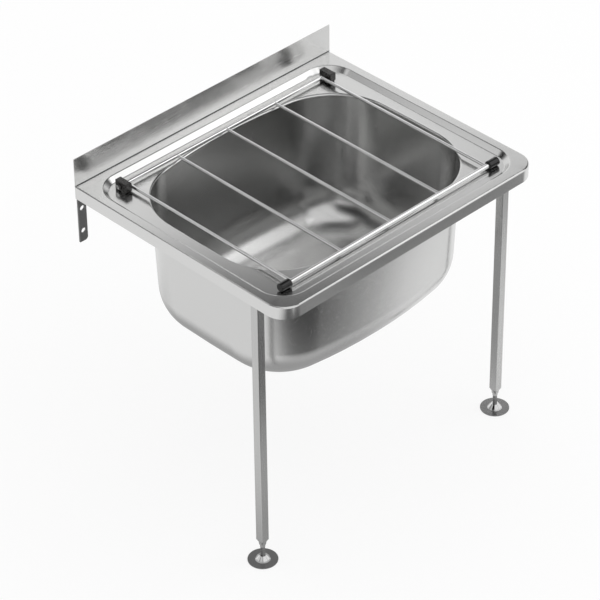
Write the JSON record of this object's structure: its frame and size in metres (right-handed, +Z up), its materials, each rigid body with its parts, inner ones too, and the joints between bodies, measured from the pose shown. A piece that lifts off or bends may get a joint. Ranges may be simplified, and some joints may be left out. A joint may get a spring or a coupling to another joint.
{
  "type": "utility laundry sink",
  "caption": "Wall-hung stainless utility sink: one deep bowl, upright splashback, hinged bucket grate with buffers, wall brackets and two square front legs with adjustable feet.",
  "frame": {"origin": "floor level under the feet, in the middle of the width and the depth", "axes": "+Z up, -Y to the front, +Y to the wall, +X to the right seen from the front"},
  "size_m": [0.6346, 0.5, 0.62],
  "materials": {
    "stainless": "satin",
    "bracket_steel": "dull",
    "leg_steel": "satin",
    "rod_steel": "polished",
    "block_plastic": "matte",
    "buffer_plastic": "gloss",
    "insert_plastic": "matte",
    "chrome": "polished",
    "disc_steel": "satin",
    "zinc_screw": "satin",
    "gasket_rubber": "matte",
    "waste_plastic": "matte"
  },
  "bodies": {
    "sink": {"sink_top": "stainless", "splashback": "stainless", "bowl": "stainless", "wall_bracket_left": "bracket_steel", "wall_bracket_right": "bracket_steel", "hinge_block_left": "block_plastic", "hinge_block_right": "block_plastic", "hinge_block_screws": "zinc_screw", "leg_left": "leg_steel", "leg_right": "leg_steel", "leg_mount_left": "bracket_steel", "leg_mount_right": "bracket_steel", "leg_top_insert_left": "insert_plastic", "leg_top_insert_right": "insert_plastic", "leg_end_plug_left": "leg_steel", "leg_end_plug_right": "leg_steel", "waste_strainer": "stainless", "waste_upper_gasket": "gasket_rubber", "waste_lower_gasket": "gasket_rubber", "waste_body": "waste_plastic", "waste_screw": "zinc_screw"},
    "grate": {"grate_rear_rod": "rod_steel", "grate_front_rod": "rod_steel", "grate_bar_1": "rod_steel", "grate_bar_2": "rod_steel", "grate_bar_3": "rod_steel", "grate_bar_4": "rod_steel", "grate_bar_5": "rod_steel", "grate_buffer_left": "buffer_plastic", "grate_buffer_right": "buffer_plastic"},
    "foot_left": {"foot_spindle_left": "chrome", "foot_cone_left": "chrome", "foot_disc_left": "disc_steel"},
    "foot_right": {"foot_spindle_right": "chrome", "foot_cone_right": "chrome", "foot_disc_right": "disc_steel"}
  },
  "joints": [
    {"name": "grate_hinge", "type": "hinge", "parent": "sink", "child": "grate", "pos_m": [0, 0.199, 0.5638], "axis": [-1, 0, 0], "range_deg": [0, 96.3]},
    {"name": "foot_left_height", "type": "slide", "parent": "sink", "child": "foot_left", "axis": [0, 0, 1], "range_m": [-0.015, 0.012]},
    {"name": "foot_right_height", "type": "slide", "parent": "sink", "child": "foot_right", "axis": [0, 0, 1], "range_m": [-0.015, 0.012]}
  ]
}
